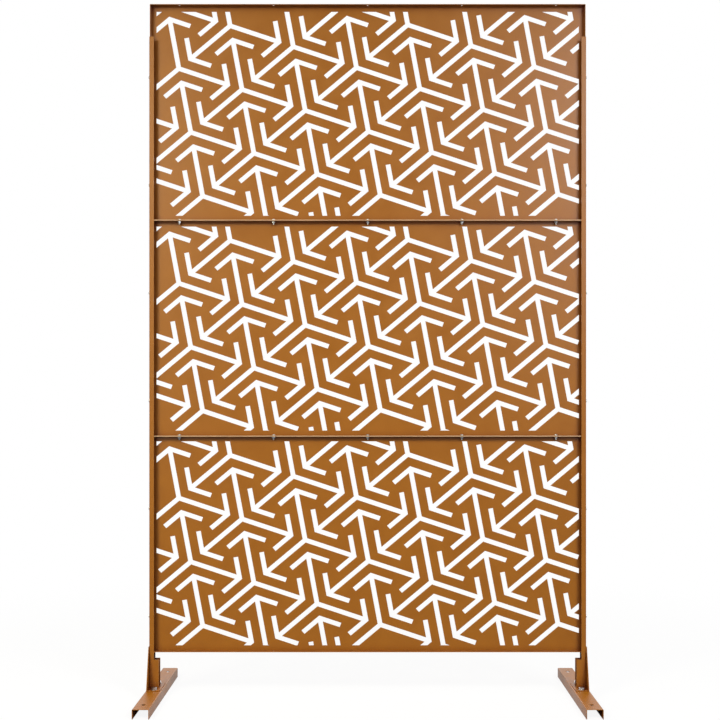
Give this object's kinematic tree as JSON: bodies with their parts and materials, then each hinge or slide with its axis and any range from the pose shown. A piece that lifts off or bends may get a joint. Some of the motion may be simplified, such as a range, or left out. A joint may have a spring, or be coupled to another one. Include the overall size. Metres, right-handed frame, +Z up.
{
  "type": "free-standing privacy screen",
  "caption": "Free-standing metal privacy screen: stacked panels cut with a three-way arrow pattern, held between channel posts on channel feet.",
  "frame": {"origin": "on the floor, midway between the two feet and midway along them", "axes": "+Z up, +X to the right seen from the front, +Y to the back; the panels' flanges and the screws face the front, -Y"},
  "size_m": [1.212, 0.4, 1.91],
  "materials": {
    "powder_coat": "semi-gloss golden brown powder coat on steel",
    "zinc": "bright zinc plate"
  },
  "bodies": {
    "root": {"panel_top": "powder_coat", "panel_middle": "powder_coat", "panel_bottom": "powder_coat", "post_upper_left": "powder_coat", "post_upper_right": "powder_coat", "post_lower_left": "powder_coat", "post_lower_right": "powder_coat", "foot_bracket_left": "powder_coat", "foot_bracket_right": "powder_coat", "foot_left": "powder_coat", "foot_right": "powder_coat", "joint_screws_upper": "zinc", "joint_nuts_upper": "zinc", "joint_screws_lower": "zinc", "joint_nuts_lower": "zinc", "post_screws_left": "zinc", "post_nuts_left": "zinc", "post_screws_right": "zinc", "post_nuts_right": "zinc", "foot_bolts_left": "zinc", "foot_washers_left": "zinc", "foot_nuts_left": "zinc", "foot_bolts_right": "zinc", "foot_washers_right": "zinc", "foot_nuts_right": "zinc"}
  },
  "joints": []
}
